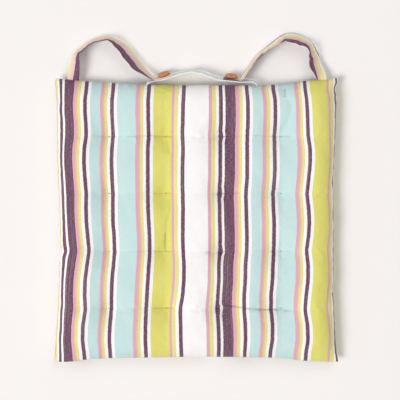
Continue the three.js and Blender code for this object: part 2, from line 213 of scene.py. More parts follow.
class Nodes:
    """Short spellings for building a node tree."""

    def __init__(self, name):
        self.mat = bpy.data.materials.new(name)
        self.mat.use_nodes = True
        self.tree = self.mat.node_tree
        self.tree.nodes.clear()
        out = self.tree.nodes.new("ShaderNodeOutputMaterial")
        self.shader = self.tree.nodes.new("ShaderNodeBsdfPrincipled")
        self.link(self.shader.outputs[0], out.inputs["Surface"])

    def link(self, a, b):
        self.tree.links.new(a, b)

    def feed(self, value, socket):
        if isinstance(value, bpy.types.NodeSocket):
            self.link(value, socket)
        elif value is not None:
            socket.default_value = value

    def math(self, op, a, b=None, c=None, clamp=False):
        n = self.tree.nodes.new("ShaderNodeMath")
        n.operation = op
        n.use_clamp = clamp
        for value, socket in zip((a, b, c), n.inputs):
            self.feed(value, socket)
        return n.outputs[0]

    def noise(self, vector, scale, detail=2.0, rough=0.5, dims="3D"):
        n = self.tree.nodes.new("ShaderNodeTexNoise")
        n.noise_dimensions = dims
        self.feed(vector, n.inputs["Vector"])
        n.inputs["Scale"].default_value = scale
        n.inputs["Detail"].default_value = detail
        n.inputs["Roughness"].default_value = rough
        return n.outputs[0]

    def combine(self, x, y, z=0.0):
        n = self.tree.nodes.new("ShaderNodeCombineXYZ")
        for value, socket in zip((x, y, z), n.inputs):
            self.feed(value, socket)
        return n.outputs[0]

    def uv(self, name="flat"):
        n = self.tree.nodes.new("ShaderNodeUVMap")
        n.uv_map = name
        s = self.tree.nodes.new("ShaderNodeSeparateXYZ")
        self.link(n.outputs[0], s.inputs[0])
        return n.outputs[0], s.outputs[0], s.outputs[1]

    def attribute(self, name):
        n = self.tree.nodes.new("ShaderNodeAttribute")
        n.attribute_name = name
        return n.outputs["Fac"]

    def mix(self, factor, a, b, mode="MIX"):
        n = self.tree.nodes.new("ShaderNodeMix")
        n.data_type = "RGBA"
        n.blend_type = mode
        self.feed(factor, n.inputs[0])
        self.feed(a, n.inputs[6])
        self.feed(b, n.inputs[7])
        return n.outputs[2]

    def darker(self, colour, by):
        return self.mix(1.0, colour, by, "MULTIPLY")

    def ramp(self, value, stops, interpolation="LINEAR"):
        n = self.tree.nodes.new("ShaderNodeValToRGB")
        n.color_ramp.interpolation = interpolation
        self.feed(value, n.inputs[0])
        elements = n.color_ramp.elements
        while len(elements) > 1:
            elements.remove(elements[-1])
        elements[0].position, elements[0].color = stops[0]
        for position, colour in stops[1:]:
            elements.new(position).color = colour
        return n.outputs[0]

    def remap(self, value, a, b, low, high):
        n = self.tree.nodes.new("ShaderNodeMapRange")
        self.feed(value, n.inputs[0])
        for socket, v in zip(list(n.inputs)[1:5], (a, b, low, high)):
            socket.default_value = v
        return n.outputs[0]

    def bump(self, height, distance, strength=1.0, normal=None):
        n = self.tree.nodes.new("ShaderNodeBump")
        n.inputs["Strength"].default_value = strength
        n.inputs["Distance"].default_value = distance
        self.feed(height, n.inputs["Height"])
        self.feed(normal, n.inputs["Normal"])
        return n.outputs[0]


def striped_cotton(name, stripes=STRIPES, crease=False, painted_light=0.0):
    """Yarn-dyed plain weave. UV is in metres across and along the warp; the stripes run along V."""
    k = Nodes(name)
    uv, u, v = k.uv()
    yarn = 0.00052
    # the edge of each stripe wavers by a yarn or so
    waver = k.noise(k.combine(k.math("MULTIPLY", u, 60.0), k.math("MULTIPLY", v, 260.0)), 1.0, 2.0)
    shifted = k.math("ADD", u, k.math("MULTIPLY", k.math("SUBTRACT", waver, 0.5), 0.0009))
    repeat = sum(width for _, width in stripes)
    phase = k.math("FRACT", k.math("DIVIDE", k.math("ADD", shifted, 4 * repeat * MM), repeat * MM))
    stops, at = [], 0.0
    for colour, width in stripes:
        # painted light: the strap copies of the cloth are paled towards white to brighten faces that lean away
        # from the lamp; plum stays full
        paler = 0.0 if colour == PLUM else painted_light
        dye = [c + (white - c) * paler for c, white in zip(SRGB[colour], SRGB[WHITE])]
        stops.append((at / repeat, linear(dye)))
        at += width
    dyed = k.ramp(phase, stops, "CONSTANT")
    # weft yarns cross every warp yarn: pale flecks, plainest on the plum stripes
    weft = k.noise(k.combine(k.math("MULTIPLY", u, 260.0), k.math("MULTIPLY", v, 1900.0)), 1.0, 2.0, 0.6)
    warp = k.noise(k.combine(k.math("MULTIPLY", u, 1900.0), k.math("MULTIPLY", v, 200.0)), 1.0, 2.0, 0.6)
    fleck = k.remap(weft, 0.5, 0.78, 0.0, 0.4)
    base = k.mix(fleck, dyed, linear((238, 226, 226)))
    base = k.mix(k.remap(warp, 0.35, 0.7, 0.16, 0.0), base, k.darker(base, (0.72, 0.7, 0.72, 1)))
    streaks = k.noise(k.combine(k.math("MULTIPLY", u, 520.0), k.math("MULTIPLY", v, 5.0)), 1.0, 2.0, 0.7)
    base = k.mix(k.remap(streaks, 0.52, 0.8, 0.0, 0.2), base, linear((244, 238, 228)))
    cloudy = k.noise(uv, 28.0, 3.0)
    base = k.mix(k.remap(cloudy, 0.3, 0.7, 0.10, 0.0), base, k.darker(base, (0.9, 0.88, 0.9, 1)))
    if crease:
        # painted shade: the crease attribute darkens the cloth along its folds, where shade falls
        crease_shade = k.attribute("crease")
        base = k.mix(crease_shade, base, k.darker(base, (0.52, 0.47, 0.46, 1)))
    # plain weave: warp and weft crowns alternate
    wu = k.math("SINE", k.math("MULTIPLY", u, math.pi / yarn))
    wv = k.math("SINE", k.math("MULTIPLY", v, math.pi / yarn))
    weave = k.math("MULTIPLY", wu, wv)
    fibres = k.math("ADD", k.math("MULTIPLY", weft, 0.5), k.math("MULTIPLY", warp, 0.5))
    height = k.math("ADD", k.math("MULTIPLY", weave, 0.32), fibres)
    normal = k.bump(height, 0.00016, 0.55)
    rumple = k.noise(k.combine(k.math("MULTIPLY", u, 1.0), k.math("MULTIPLY", v, 1.3)), 95.0, 3.0, 0.55)
    normal = k.bump(rumple, 0.0011, 0.5, normal)
    k.link(base, k.shader.inputs["Base Color"])
    k.link(normal, k.shader.inputs["Normal"])
    k.link(k.remap(fibres, 0.3, 0.7, 0.92, 0.78), k.shader.inputs["Roughness"])
    k.shader.inputs["Sheen Weight"].default_value = 0.12
    k.shader.inputs["Sheen Roughness"].default_value = 0.5
    k.shader.inputs["Specular IOR Level"].default_value = 0.25
    return k.mat


def plain_thread(name, rgb, twist=0.0009):
    k = Nodes(name)
    geo = k.tree.nodes.new("ShaderNodeTexCoord")
    s = k.tree.nodes.new("ShaderNodeSeparateXYZ")
    k.link(geo.outputs["Object"], s.inputs[0])
    run = k.math("ADD", k.math("ADD", s.outputs[0], k.math("MULTIPLY", s.outputs[1], 0.8)), s.outputs[2])
    ply = k.math("SINE", k.math("MULTIPLY", run, 2 * math.pi / twist))
    fluff = k.noise(geo.outputs["Object"], 2600.0, 2.0)
    colour = k.mix(k.remap(ply, -1, 1, 0.0, 0.35), linear(rgb), linear([c * 0.82 for c in rgb]))
    colour = k.mix(k.remap(fluff, 0.3, 0.7, 0.0, 0.2), colour, linear([min(255, c * 1.08) for c in rgb]))
    k.link(colour, k.shader.inputs["Base Color"])
    k.link(k.bump(k.math("ADD", ply, fluff), 0.0002, 0.7), k.shader.inputs["Normal"])
    k.link(k.remap(fluff, 0.3, 0.7, 0.85, 0.65), k.shader.inputs["Roughness"])
    return k.mat


def fibre_fill(name):
    k = Nodes(name)
    geo = k.tree.nodes.new("ShaderNodeTexCoord")
    fluff = k.noise(geo.outputs["Object"], 420.0, 5.0, 0.7)
    lumps = k.noise(geo.outputs["Object"], 45.0, 2.0)
    colour = k.mix(k.remap(fluff, 0.3, 0.7, 0.0, 1.0), linear((232, 229, 222)), linear((250, 249, 246)))
    k.link(colour, k.shader.inputs["Base Color"])
    height = k.math("ADD", fluff, k.math("MULTIPLY", lumps, 1.5))
    k.link(k.bump(height, 0.002, 0.8), k.shader.inputs["Normal"])
    k.link(k.remap(fluff, 0.3, 0.7, 1.0, 0.9), k.shader.inputs["Roughness"])
    return k.mat


def button_wood(name):
    k = Nodes(name)
    geo = k.tree.nodes.new("ShaderNodeTexCoord")
    s = k.tree.nodes.new("ShaderNodeSeparateXYZ")
    k.link(geo.outputs["Object"], s.inputs[0])
    bend = k.noise(geo.outputs["Object"], 90.0, 2.0)
    grain_at = k.combine(
        k.math("MULTIPLY", s.outputs[0], 60.0),
        k.math("MULTIPLY", s.outputs[1], 900.0),
        k.math("MULTIPLY", k.math("ADD", s.outputs[2], k.math("MULTIPLY", bend, 0.002)), 900.0),
    )
    grain = k.noise(grain_at, 1.0, 3.0, 0.6)
    pores = k.noise(grain_at, 4.0, 2.0, 0.7)
    growth = [(0.3, (168, 96, 48)), (0.52, (206, 132, 76)), (0.75, (226, 160, 102))]
    colour = k.ramp(grain, [(at, linear(rgb)) for at, rgb in growth])
    colour = k.mix(k.remap(pores, 0.55, 0.75, 0.0, 0.5), colour, linear((120, 66, 34)))
    k.link(colour, k.shader.inputs["Base Color"])
    k.link(k.remap(grain, 0.3, 0.7, 0.5, 0.36), k.shader.inputs["Roughness"])
    k.link(k.bump(k.math("ADD", grain, pores), 0.0001, 0.5), k.shader.inputs["Normal"])
    k.shader.inputs["Coat Weight"].default_value = 0.25
    k.shader.inputs["Coat Roughness"].default_value = 0.25
    return k.mat


# ---------------------------------------------------------------- pad covers: flat pattern, cloth simulation
CELLS = 96
FINE = 3  # fine grid cells per simulated cell
EASE = 1.022  # fabric length for each unit of plan, between the tufts
SHIFT_X = 2.95 * MM  # the top panel sits a little to the right
PATTERN = 207.35 * MM * EASE  # half width of the cut panel inside its seam allowance
ROLL_REACH = 46 * MM  # how far in from its edge the panel turns down
TOP_ROLL, BOTTOM_ROLL = 36 * MM, 34 * MM
FLOOR_LIFT = 0.3 * MM
MAX_SWELL = 9 * MM  # furthest the simulation may move a point
STRAP_WIDTH = 22
BOTTOM_SHIFT = 0.021  # the stripes below lie this far from those on top
# How far each seam is drawn in from the 400 mm square: place along the side and depth, in mm.
OUTLINE = {
    "left": [
        (-200, 0), (-168, 2.2), (-147, 3.4), (-125, 5.2), (-84, 6.6), (-54, 7.6), (-43, 10.4), (-32, 8.2),
        (-3, 8.4), (36, 6.6), (81, 4.4), (118, 4), (168, 3.4), (186, 2), (200, 0),
    ],
    "right": [
        (-200, 0), (-192, 1.8), (-168, 4.4), (-147, 5.4), (-112, 6.8), (-101, 9.4), (-92, 7.2), (0, 7.2),
        (30, 7.4), (56, 8.3), (75, 7.2), (95, 5.6), (120, 4.4), (150, 3.6), (176, 2.4), (183, 4.8), (189, 2),
        (200, 0),
    ],
    "front": [
        (-200, 0), (-176, 0.3), (-160, 2.6), (-150, 4), (-120, 5.4), (-60, 6.4), (5, 7.6), (60, 7), (105, 6.2),
        (128, 4.8), (142, 2.4), (165, 0.8), (200, 0),
    ],
    "rear": [
        (-200, 0), (-186, 1.8), (-165, 4), (-148, 5), (-106, 7.8), (-64, 9.8), (5, 10.5), (50, 10.6), (85, 11),
        (112, 9.5), (134, 7), (151, 4.2), (173, 2.8), (186, 2.6), (194, 0.8), (200, 0),
    ],
}

lines = np.linspace(-PATTERN, PATTERN, CELLS + 1)
FLAT_U, FLAT_V = np.meshgrid(lines, lines, indexing="ij")


def turned(flat, shift):
    """Distance in from the panel's own edge, and how strongly its edge roll acts there."""
    inner = flat / EASE + shift
    edge = PATTERN / EASE + np.sign(inner) * shift
    t = edge - np.abs(inner)
    return inner, edge, np.clip(1 - t / ROLL_REACH, 0, 1) ** 2.2


def settle(flat, shift):
    """Plan position of a flat coordinate: even inside, crowded towards the seam."""
    inner, edge, near_edge = turned(flat, shift)
    return inner - np.sign(inner) * (edge - HALF) * near_edge


def inset(side, place):
    table = np.array(OUTLINE[side], float) * MM
    spread = np.linspace(-4, 4, 5) * MM
    return sum(np.interp(place + d, table[:, 0], table[:, 1]) for d in spread) / len(spread)


def plan_of(u, v):
    """Plan position of the flat panel with its seams drawn in between the corner ears."""
    x, y = settle(u, SHIFT_X), settle(v, 0.0)
    pull_x = np.where(x < 0, inset("left", y), inset("right", y)) * turned(u, SHIFT_X)[2]
    pull_y = np.where(y < 0, inset("front", x), inset("rear", x)) * turned(v, 0.0)[2]
    return x - np.sign(x) * pull_x, y - np.sign(y) * pull_y


def scallop(x, centres):
    nearest = np.min([np.abs(x - c) for c in centres], axis=0)
    pitch = abs(centres[1] - centres[0])
    return np.sin(np.clip((nearest - 2 * MM) / (pitch / 2 - 2 * MM), 0, 1) * math.pi / 2)


def rolled(u, v, reach):
    """0 at the seam, 1 inside, following the round edge of a stuffed pad."""
    x, y = settle(u, SHIFT_X), settle(v, 0.0)
    ex = np.sin(np.clip((HALF - np.abs(x)) / reach, 0, 1) * math.pi / 2) ** 0.62
    ey = np.sin(np.clip((HALF - np.abs(y)) / reach, 0, 1) * math.pi / 2) ** 0.62
    return ex * ey


def heights(x, y, u, v):
    sx, sy = scallop(x, COLUMNS), scallop(y, ROWS)
    puff = 0.8 * (1 - (1 - sx) * (1 - sy)) + 0.2 * sx * sy
    top_tuft = TUFTS[1, 1][3]
    bottom_tuft = TUFTS[1, 1][2]
    low = (top_tuft - SEAM_Z) / (CROWN_Z - SEAM_Z)
    uneven = 1 + 0.035 * wave_noise(x, y, 0.11, 11)
    top = SEAM_Z + rolled(u, v, TOP_ROLL) * (CROWN_Z - 1.5 * MM - SEAM_Z) * (low + (1 - low) * puff) * uneven
    sink = (SEAM_Z - bottom_tuft) / SEAM_Z
    bottom = SEAM_Z - rolled(u, v, BOTTOM_ROLL) * SEAM_Z * (sink + (1 - sink) * np.minimum(1, 1.3 * puff))
    return top, bottom


def simulate_covers():
    """Both panels as one closed cloth, inflated by its filling and held at the tufts, as two grids."""
    n = CELLS + 1
    X, Y = plan_of(FLAT_U, FLAT_V)
    top_z, bottom_z = heights(X, Y, FLAT_U, FLAT_V)
    top = np.stack([X, Y, top_z], -1)
    bottom = np.stack([X, Y, bottom_z], -1)
    top_pin = np.zeros((n, n))
    bottom_pin = np.zeros((n, n))
    for (r, c), (tx, ty, low_z, high_z) in TUFTS.items():
        i0, j0 = np.unravel_index(np.argmin((X - tx) ** 2 + (Y - ty) ** 2), X.shape)
        for i in range(i0 - 1, i0 + 2):
            for j in range(j0 - 1, j0 + 2):
                px = tx + (X[i, j] - X[i0, j0]) * 0.86
                py = ty + (Y[i, j] - Y[i0, j0]) * 0.45
                top[i, j] = (px, py, high_z + 0.3 * MM * abs(i - i0))
                bottom[i, j] = (px, py, low_z)
                top_pin[i, j] = bottom_pin[i, j] = 1.0
    edge = np.zeros((n, n), bool)
    edge[0, :] = edge[-1, :] = edge[:, 0] = edge[:, -1] = True
    top[edge, 2] = SEAM_Z
    bottom[edge] = top[edge]
    top_pin[edge] = 0.35
    index_top = np.arange(n * n).reshape(n, n)
    index_bottom = index_top.copy()
    inner = ~edge
    index_bottom[inner] = n * n + np.arange(inner.sum())
    verts = np.concatenate([top.reshape(-1, 3), bottom[inner]])
    flat3 = np.stack([FLAT_U, FLAT_V, 0 * FLAT_U], -1)
    rest = np.concatenate([flat3.reshape(-1, 3), flat3[inner]])
    pins = np.concatenate([top_pin.reshape(-1), bottom_pin[inner]])

    faces = np.concatenate([grid_quads(index_top), grid_quads(index_bottom)[:, ::-1]])
    mesh = bpy.data.meshes.new("simulated")
    mesh.from_pydata(verts.tolist(), [], faces.tolist())
    obj = bpy.data.objects.new("simulated", mesh)
    scene.collection.objects.link(obj)
    group = obj.vertex_groups.new(name="pin")
    for weight in np.unique(pins[pins > 0]):
        group.add(np.nonzero(pins == weight)[0].tolist(), float(weight), "REPLACE")
    obj.shape_key_add(name="Basis")
    flat_key = obj.shape_key_add(name="flat")
    flat_key.data.foreach_set("co", rest.astype(np.float32).ravel())
    flat_key.value = 0.0
    cloth = obj.modifiers.new("cloth", "CLOTH")
    s = cloth.settings
    s.quality = 7
    s.mass = 0.12
    s.air_damping = 2.5
    s.tension_stiffness = s.compression_stiffness = 22
    s.shear_stiffness = 9
    s.tension_damping = s.compression_damping = s.shear_damping = 6
    s.bending_model = "ANGULAR"
    s.bending_stiffness = 0.35
    s.bending_damping = 0.6
    s.vertex_group_mass = "pin"
    s.pin_stiffness = 1.0
    s.use_pressure = True
    s.uniform_pressure_force = 3.2
    s.rest_shape_key = flat_key
    s.effector_weights.gravity = 0.0
    cloth.collision_settings.use_collision = False
    cloth.collision_settings.use_self_collision = False
    frames = 24
    cloth.point_cache.frame_end = frames
    for f in range(1, frames + 1):
        scene.frame_set(f)
    evaluated = obj.evaluated_get(bpy.context.evaluated_depsgraph_get())
    moved = np.zeros(len(verts) * 3, np.float32)
    evaluated.to_mesh().vertices.foreach_get("co", moved)
    evaluated.to_mesh_clear()
    scene.frame_set(1)
    moved = moved.reshape(-1, 3).astype(float)
    shift = moved - verts
    far = np.linalg.norm(shift, axis=1, keepdims=True)
    print("cloth moved at most mm", far.max() * 1000, "mean", far.mean() * 1000)
    shift *= np.minimum(1, MAX_SWELL / np.maximum(far, 1e-9))
    moved = verts + shift
    bpy.data.objects.remove(obj)
    bpy.data.meshes.remove(mesh)
    return moved[index_top], moved[index_bottom]


def refine(grid):
    """Catmull-Rom upsampling of a grid of values by FINE."""
    n = grid.shape[0]
    m = (n - 1) * FINE + 1
    weights = np.zeros((m, n))
    for k in range(m):
        i, t = divmod(k, FINE)
        t /= FINE
        if t == 0:
            weights[k, i] = 1
            continue
        for j, w in zip(
            (i - 1, i, i + 1, i + 2),
            (
                0.5 * (-t + 2 * t**2 - t**3),
                0.5 * (2 - 5 * t**2 + 3 * t**3),
                0.5 * (t + 4 * t**2 - 3 * t**3),
                0.5 * (-(t**2) + t**3),
            ),
        ):
            if j < 0:
                weights[k, 0] += 2 * w
                weights[k, 1] -= w
            elif j >= n:
                weights[k, n - 1] += 2 * w
                weights[k, n - 2] -= w
            else:
                weights[k, j] += w
    if grid.ndim == 2:
        return weights @ grid @ weights.T
    return np.stack([weights @ grid[..., d] @ weights.T for d in range(grid.shape[-1])], -1)


def grid_normals(p):
    du = np.gradient(p, axis=0)
    dv = np.gradient(p, axis=1)
    n = np.cross(du, dv)
    return n / np.maximum(np.linalg.norm(n, axis=-1, keepdims=True), 1e-12)


def crease_field(p, creases):
    """Depth in metres of sharp folds, and how dark their shaded line is.

    Each fold is a chain of plan points with a depth, a half width and a darkness."""
    depth = np.zeros(p.shape[:2])
    line = np.zeros(p.shape[:2])
    x, y = p[..., 0], p[..., 1]
    for points, deep, wide, dark in creases:
        pts = np.array(points, float)
        lengths = np.r_[0, np.cumsum(np.linalg.norm(np.diff(pts, axis=0), axis=1))]
        best = np.full(x.shape, 9.0)
        along = np.zeros(x.shape)
        for i in range(len(pts) - 1):
            a, b = pts[i], pts[i + 1]
            d = b - a
            L = float(d @ d)
            t = np.clip(((x - a[0]) * d[0] + (y - a[1]) * d[1]) / L, 0, 1)
            dist = np.hypot(x - a[0] - t * d[0], y - a[1] - t * d[1])
            closer = dist < best
            best = np.where(closer, dist, best)
            along = np.where(closer, (lengths[i] + t * math.sqrt(L)) / lengths[-1], along)
        end = np.minimum(along, 1 - along)
        fade = np.where(end <= 0, 0, smooth(end / 0.16) * 0.85 + 0.15)
        depth = np.maximum(depth, deep * fade * np.exp(-((best / wide) ** 1.3)))
        # painted shade along the fold line, carried to the cloth as the crease attribute
        line = np.maximum(line, dark * fade * np.exp(-((best / (0.95 * MM)) ** 2)))
    return depth, line


def near(r, c, dx, dy):
    """A point dx, dy millimetres from the tuft in row r and column c."""
    x, y = TUFTS[r, c][:2]
    return (x + dx * MM, y + dy * MM)


# For each row of tufts: how deep its folds are, and how dark the painted shade along their line is, from left
# to right.
TUFT_ROW_FOLDS = {
    1: (0.9, (0.3, 0.35, 0.55, 0.15, 0.2, 0.25, 0.45)),
    2: (0.6, (0.08, 0.1, 0.35, 0.05, 0.45, 0.08, 0.15)),
    3: (0.75, (0.12, 0.18, 0.5, 0.08, 0.1, 0.05, 0.3)),
    4: (0.75, (0.12, 0.15, 0.55, 0.0, 0.2, 0.1, 0.2)),
}


# Folds off the rows: points as row, column and mm from that tuft; then depth, half width and darkness of the
# painted shade line.
LOOSE_FOLDS = [
    ([(4, 3, -6, 3), (4, 3, 18, 2), (4, 4, -36, -1), (4, 4, -8, -2), (4, 4, 18, -4)], 1.5, 2.2, 1.0),
    ([(3, 3, -28, -1), (3, 3, -12, -1.5), (3, 3, 2, -2.5)], 1.6, 2.2, 0.7),
    ([(3, 3, 0, -2), (3, 3, 2, -18), (3, 3, 3, -40), (4, 3, 0, 8)], 1.0, 3.4),
    ([(2, 2, 5, 2), (2, 2, 5.5, -24), (2, 2, 1, -44), (3, 2, 0, 24), (3, 2, 1, 2)], 1.4, 2.6, 0.2),
    ([(2, 2, 0, -52), (3, 2, -1, 20), (3, 2, -1, 0)], 1.3, 1.9, 0.85),
    ([(1, 2, 1, -2), (1, 2, 3, -12), (1, 2, 4, -24)], 1.4, 2.8, 0.25),
    ([(1, 2, 0, 2), (1, 2, 2, 20), (1, 2, -3, 36)], 0.7, 4.0),
    ([(4, 2, 1, -1), (4, 2, 2, -10), (4, 2, 2, -20)], 1.3, 2.8, 0.2),
    ([(1, 4, -2, 2), (1, 4, 6, 14), (1, 4, 13, 34), (1, 4, 14, 44), (1, 4, 6, 58)], 2.6, 5.0, 0.12),
    ([(1, 4, 5, 54), (1, 4, 6, 70)], 2.0, 3.0, 0.6),
    ([(2, 4, 2, 2), (2, 4, 5, -12), (2, 4, 3, -28)], 0.9, 3.2),
    ([(3, 4, 2, 14), (3, 4, 1, 0), (3, 4, 3, -12)], 1.0, 3.0),
    ([(3, 1, -2, 6), (3, 1, 2, -8), (3, 1, 1, -22)], 0.9, 3.2),
    ([(4, 1, -10, 3), (4, 1, 2, -4), (4, 1, 5, -18)], 0.9, 3.0),
    ([(1, 3, 3, 3), (1, 3, 8, 20), (1, 3, 6, 34)], 0.6, 4.0),
    ([(4, 3, 0, -4), (4, 3, 3, -16), (4, 3, 1, -32)], 0.9, 3.2),
]


def top_creases():
    out = []

    def fold(points, deep, wide=3.0, dark=0.0):
        out.append((points, deep * MM, wide * MM, dark))

    for r, (s, dark) in TUFT_ROW_FOLDS.items():
        fold([near(r, 1, -26, 1), near(r, 1, -10, 0), near(r, 1, 22, -1)], 1.0 * s, 3.0, dark[0])
        fold([near(r, 1, 20, -1), near(r, 2, -18, 1), near(r, 2, -8, 0)], 0.6 * s, 3.0, dark[1])
        fold([near(r, 2, -18, 0), near(r, 2, 0, 0), near(r, 2, 12, 0)], 1.8 * s, 3.2, dark[2])
        fold([near(r, 2, 8, 0), near(r, 2, 34, -1.5), near(r, 3, -18, -1)], 0.8 * s, 3.0, dark[3])
        fold([near(r, 3, -16, -1), near(r, 3, 0, 0), near(r, 3, 26, 0.5)], 1.4 * s, 3.2, dark[4])
        fold([near(r, 3, 20, 0.5), near(r, 4, -30, 1), near(r, 4, -14, 0)], 0.6 * s, 3.0, dark[5])
        fold([near(r, 4, -18, 0), near(r, 4, 0, 0), near(r, 4, 16, 0)], 1.1 * s, 3.0, dark[6])
    for points, *rest in LOOSE_FOLDS:
        fold([near(*p) for p in points], *rest)
    return out


def bottom_creases():
    out = []
    for (r, c) in TUFTS:
        s = 0.7 + 0.3 * math.sin(3.1 * r + 1.7 * c)
        out.append(([near(r, c, -16, 0.5), near(r, c, 0, 0), near(r, c, 17, -0.5)], 1.3 * s * MM, 3 * MM, 0.2))
        out.append(([near(r, c, 0, 1), near(r, c, 2 * math.sin(r + c), -18 * s)], 0.9 * s * MM, 3 * MM, 0.1))
    return out


def seam_puckers(p, u, v):
    """Short gathers that run in from the seam, deepest at the rear and front."""
    x, y = p[..., 0], p[..., 1]
    edge_x = PATTERN - np.abs(u)
    edge_y = PATTERN - np.abs(v)
    run_y = 0.75 * wave_noise(x, 0 * x + np.sign(v), 0.011, 21)
    run_y = run_y + 0.6 * wave_noise(x, 0 * x + 2 * np.sign(v), 0.024, 22)
    run_x = 0.75 * wave_noise(y, 0 * y + np.sign(u), 0.012, 23)
    run_x = run_x + 0.6 * wave_noise(y, 0 * y + 2 * np.sign(u), 0.026, 24)
    reach = 11 * MM
    d = run_y * np.exp(-edge_y / reach) * (1 - np.exp(-edge_y / (1.2 * MM)))
    d = d + run_x * np.exp(-edge_x / reach) * (1 - np.exp(-edge_x / (1.2 * MM)))
    return d * 0.95 * MM


STRAP_ROOTS = [JOINTS["left_strap_swing"]["pos_m"][0], JOINTS["right_strap_swing"]["pos_m"][0]]
BAND_ROOTS = [-69 * MM, 84.5 * MM]


def seam_opening(x, y):
    """Half the gap between the panels along the seam, wider where a strap or band end is sewn in."""
    gap = np.full(x.shape, 0.18 * MM)
    for root, half in [(r, 8.5 * MM) for r in STRAP_ROOTS] + [(r, 5 * MM) for r in BAND_ROOTS]:
        gap = gap + 0.95 * MM * (1 - smooth((np.abs(x - root) - half) / (5 * MM))) * (y > 0.9 * HALF)
    return gap


def solid_sheet(name, outer, thickness, uv_u, uv_v, crease, down):
    """A panel of cloth with thickness, from the points of its outer side; its hidden side is coarser."""
    n = outer.shape[0]
    normals = grid_normals(outer) * (-1 if down else 1)
    inner = (outer - normals * thickness)[::FINE, ::FINE]
    m = inner.shape[0]
    ix = np.arange(n * n).reshape(n, n)
    jx = n * n + np.arange(m * m).reshape(m, m)
    faces = grid_quads(ix).tolist() + grid_quads(jx)[:, ::-1].tolist()
    outer_ring, inner_ring = grid_ring(ix).tolist(), grid_ring(jx).tolist()
    for k, a in enumerate(inner_ring):
        b = inner_ring[(k + 1) % len(inner_ring)]
        fan = [outer_ring[(k * FINE + d) % len(outer_ring)] for d in range(FINE + 1)]
        faces.append((a, b, fan[-1], fan[-2]))
        faces += [(a, fan[d + 1], fan[d]) for d in range(FINE - 1)]
    if down:
        faces = [tuple(f)[::-1] for f in faces]
    uv = np.stack([np.r_[g.ravel(), g[::FINE, ::FINE].ravel()] for g in (uv_u, uv_v)], -1)
    # painted shade of the folds, stored per point; the hidden side gets none
    shade_line_values = np.r_[crease.ravel(), np.zeros(m * m)]
    verts = np.concatenate([outer.reshape(-1, 3), inner.reshape(-1, 3)])
    return make_mesh(name, verts.tolist(), faces, uv, True, {"crease": shade_line_values})


top_grid, bottom_grid = simulate_covers()
fine_u, fine_v = refine(FLAT_U), refine(FLAT_V)
top_fine, bottom_fine = refine(top_grid), refine(bottom_grid)

# How far the stripes wander sideways, in mm, at places across (columns) and along (rows) the pad.
DRIFT_X = [-184, -157, -119, -68, -20, 45, 109, 159]
DRIFT = {
    182: [1.8, 3.2, 2.2, 1.5, 1.4, -0.2, -2.0, -8.9],
    168: [0.8, 1.7, 0.8, 0.6, 0.6, 0.5, 0.3, -6.9],
    151: [1.1, 1.7, 0.7, 0.6, 0.0, 0.6, 0.8, -5.8],
    134: [2.5, 2.9, 1.5, 0.8, -0.3, 0.6, 0.7, -5.2],
    118: [2.5, 3.2, 2.1, 1.4, -1.1, -0.5, -0.1, -4.5],
    101: [0.0, 0.7, 0.6, 0.1, 0.2, -0.4, -0.3, -1.9],
    81: [0.0, 0.0, 0.0, 0.0, -0.4, -0.5, 0.0, -1.6],
    59: [1.4, 1.4, 0.7, 0.1, -0.7, -0.5, -0.3, -3.6],
    36: [2.8, 3.2, 1.8, 0.1, -0.3, -2.3, -2.2, -6.1],
    17: [3.1, 2.8, 1.8, 0.3, 0.2, -1.5, -2.1, -3.8],
    -3: [4.2, 3.6, 2.2, 1.4, 0.0, -1.3, -1.1, -2.7],
    -22: [5.5, 5.2, 3.6, 2.4, -0.3, -0.5, -1.1, -3.8],
    -43: [7.3, 7.4, 4.1, 2.8, 0.2, -0.9, -1.1, -6.8],
    -63: [3.9, 4.3, 2.7, 1.4, 1.6, -2.9, -2.5, -4.4],
    -84: [1.4, 1.7, 0.8, 0.1, 1.4, -2.9, -3.5, -4.7],
    -105: [0.7, 1.0, 0.0, -1.1, -0.4, -4.3, -5.3, -7.2],
    -125: [0.8, 2.1, -0.6, -2.2, -4.0, -4.7, -5.0, -8.9],
    -147: [-1.4, -1.3, -2.2, -3.2, -3.2, -3.0, -3.1, -5.4],
    -168: [-1.7, -1.8, -2.9, -3.4, -2.8, -2.3, -3.6, -4.7],
    -185: [-0.1, -0.1, -2.1, -2.8, -2.2, -2.5, -6.2, -7.2],
}
WIDE_PLUM_X = 40.2 * MM  # near edge of the wide plum stripe right of the middle


def drift(x, y):
    rows = np.array(sorted(DRIFT), float)
    values = np.array([DRIFT[int(r)] for r in rows])
    out = np.zeros_like(x)
    for dy in (-3, 0, 3):
        columns = [np.interp(y / MM + dy, rows, values[:, c]) for c in range(len(DRIFT_X))]
        place = np.clip((x / MM - DRIFT_X[0]), 0, DRIFT_X[-1] - DRIFT_X[0] - 1e-6) + DRIFT_X[0]
        for c in range(len(DRIFT_X) - 1):
            a, b = DRIFT_X[c], DRIFT_X[c + 1]
            t = np.clip((place - a) / (b - a), 0, 1)
            inside = (place >= a) & (place < b)
            out = out + inside * (columns[c] * (1 - smooth(t)) + columns[c + 1] * smooth(t)) / 3
    return out * MM


def stripe_u(flat, p=None):
    """Place in the stripe repeat of each flat point; the woven stripes wander a little over the top."""
    u = flat / EASE + SHIFT_X - WIDE_PLUM_X
    if p is None:
        return u
    inner, edge, _ = turned(flat, SHIFT_X)
    u = u - drift(p[..., 0], p[..., 1]) * smooth((edge - np.abs(inner)) / (26 * MM))
    # near the corners the seam pulls the next stripes in over the edge
    y = p[..., 1]
    corner = smooth((np.abs(y) - 150 * MM) / (30 * MM))
    rear_pull = 4.6 + 1.3 * np.sin(y / (2.4 * MM))
    right = smooth(1 - (PATTERN - flat) / (16 * MM)) * corner * np.where(y > 0, rear_pull, 2.4)
    left = smooth(1 - (PATTERN + flat) / (13 * MM)) * corner * 3.4
    return u + (right - left) * MM


